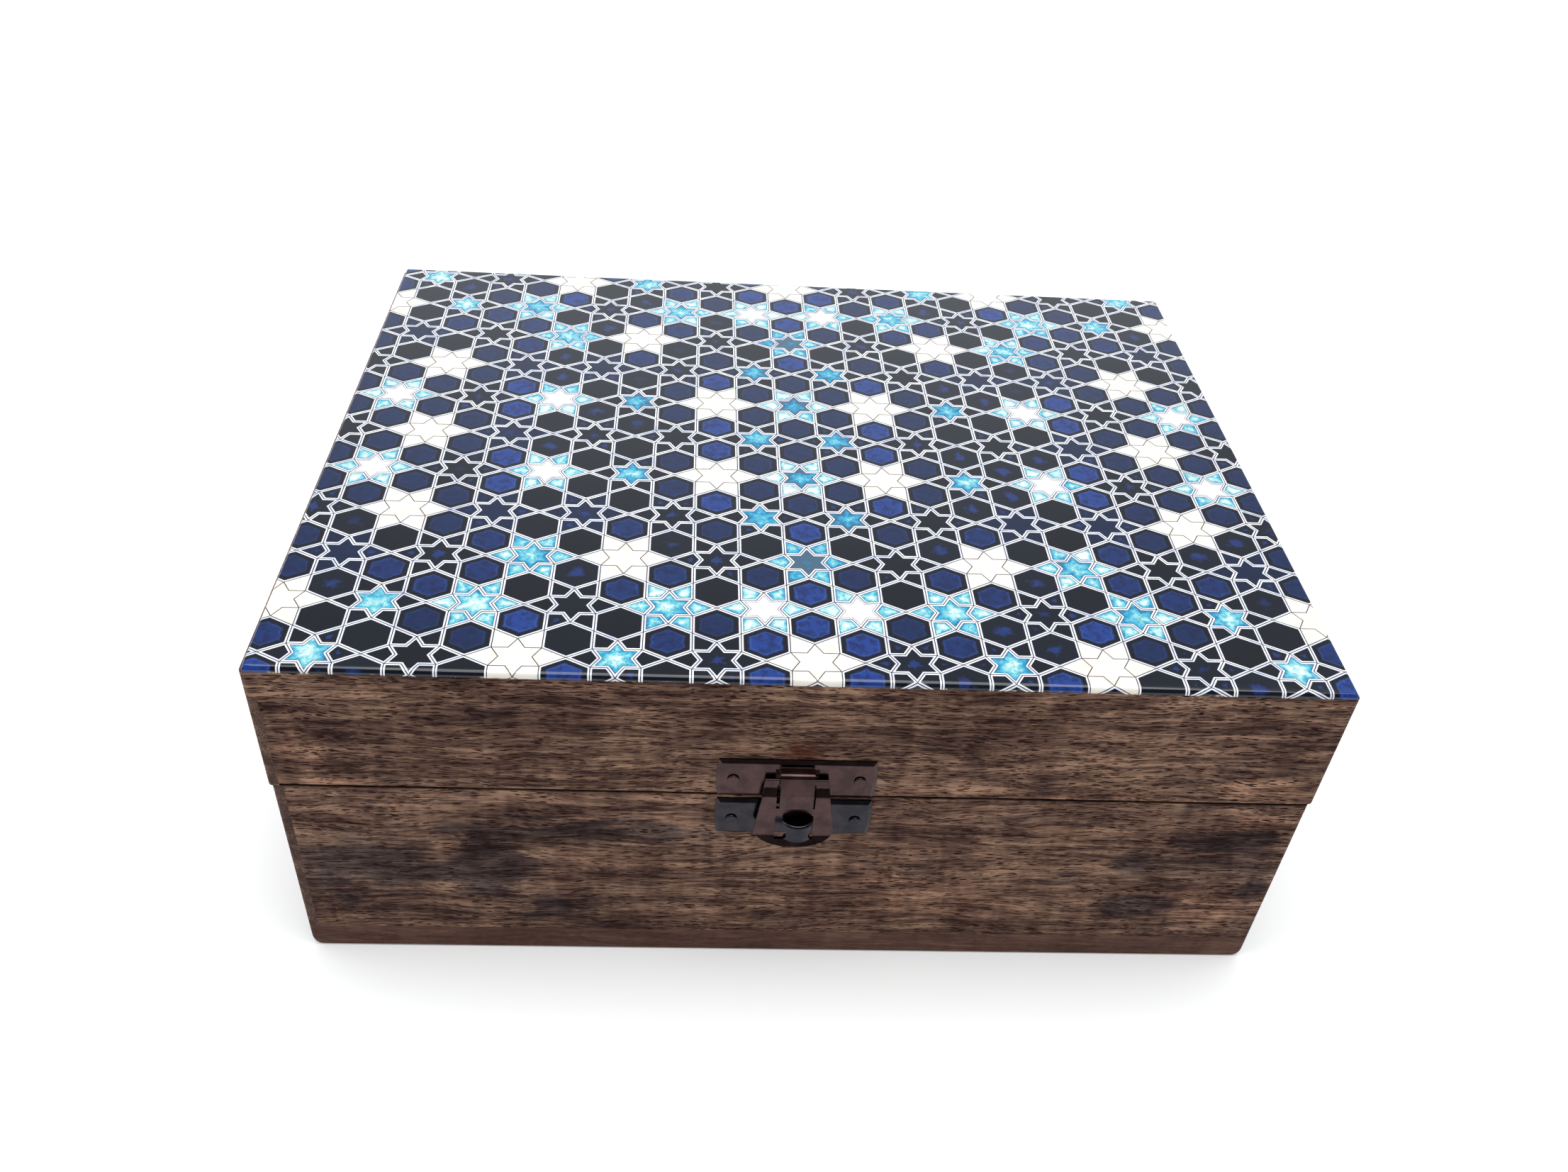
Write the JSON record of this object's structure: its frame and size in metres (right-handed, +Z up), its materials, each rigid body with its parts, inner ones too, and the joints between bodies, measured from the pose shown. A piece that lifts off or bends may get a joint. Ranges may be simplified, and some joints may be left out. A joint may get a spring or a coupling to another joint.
{
  "type": "inlaid wooden box",
  "caption": "Rectangular lidded wooden box with a star-pattern top under glossy resin, back hinges and a small metal hasp latch on the front.",
  "frame": {"origin": "centre of the underside", "axes": "+X to the box's right seen from the front, +Y to the back, where the hinges are, +Z up"},
  "size_m": [0.23, 0.1822, 0.0908],
  "materials": {
    "walnut": "dark brown stained, satin",
    "bottom_wood": "plain reddish brown, satin",
    "pattern": "blue, turquoise, ivory and black star pattern",
    "resin": "clear, glossy",
    "gunmetal": "polished dark bronze plating",
    "hinge_metal": "antique bronze plating"
  },
  "bodies": {
    "base": {"bottom_panel": "bottom_wood", "base_front_board": "walnut", "base_back_board": "walnut", "base_left_board": "walnut", "base_right_board": "walnut", "latch_catch_plate": "gunmetal", "latch_catch_nails": "gunmetal", "hinge_left_base_leaf": "hinge_metal", "hinge_left_base_nails": "hinge_metal", "hinge_left_pin": "hinge_metal", "hinge_right_base_leaf": "hinge_metal", "hinge_right_base_nails": "hinge_metal", "hinge_right_pin": "hinge_metal"},
    "lid": {"lid_front_rail": "walnut", "lid_back_rail": "walnut", "lid_left_rail": "walnut", "lid_right_rail": "walnut", "lid_top_panel": "walnut", "pattern_sheet": "pattern", "resin_coat": "resin", "latch_upper_plate": "gunmetal", "latch_upper_nails": "gunmetal", "hinge_left_lid_leaf": "hinge_metal", "hinge_left_lid_nails": "hinge_metal", "hinge_right_lid_leaf": "hinge_metal", "hinge_right_lid_nails": "hinge_metal"},
    "hasp": {"latch_hasp": "gunmetal"}
  },
  "joints": [
    {"name": "lid_hinge", "type": "hinge", "parent": "base", "child": "lid", "pos_m": [0, 0.0865, 0.0564], "axis": [-1, 0, 0], "range_deg": [0, 105]},
    {"name": "hasp_pivot", "type": "hinge", "parent": "lid", "child": "hasp", "pos_m": [-0.00165, -0.08965, 0.0628], "axis": [-1, 0, 0], "range_deg": [0, 150]}
  ]
}
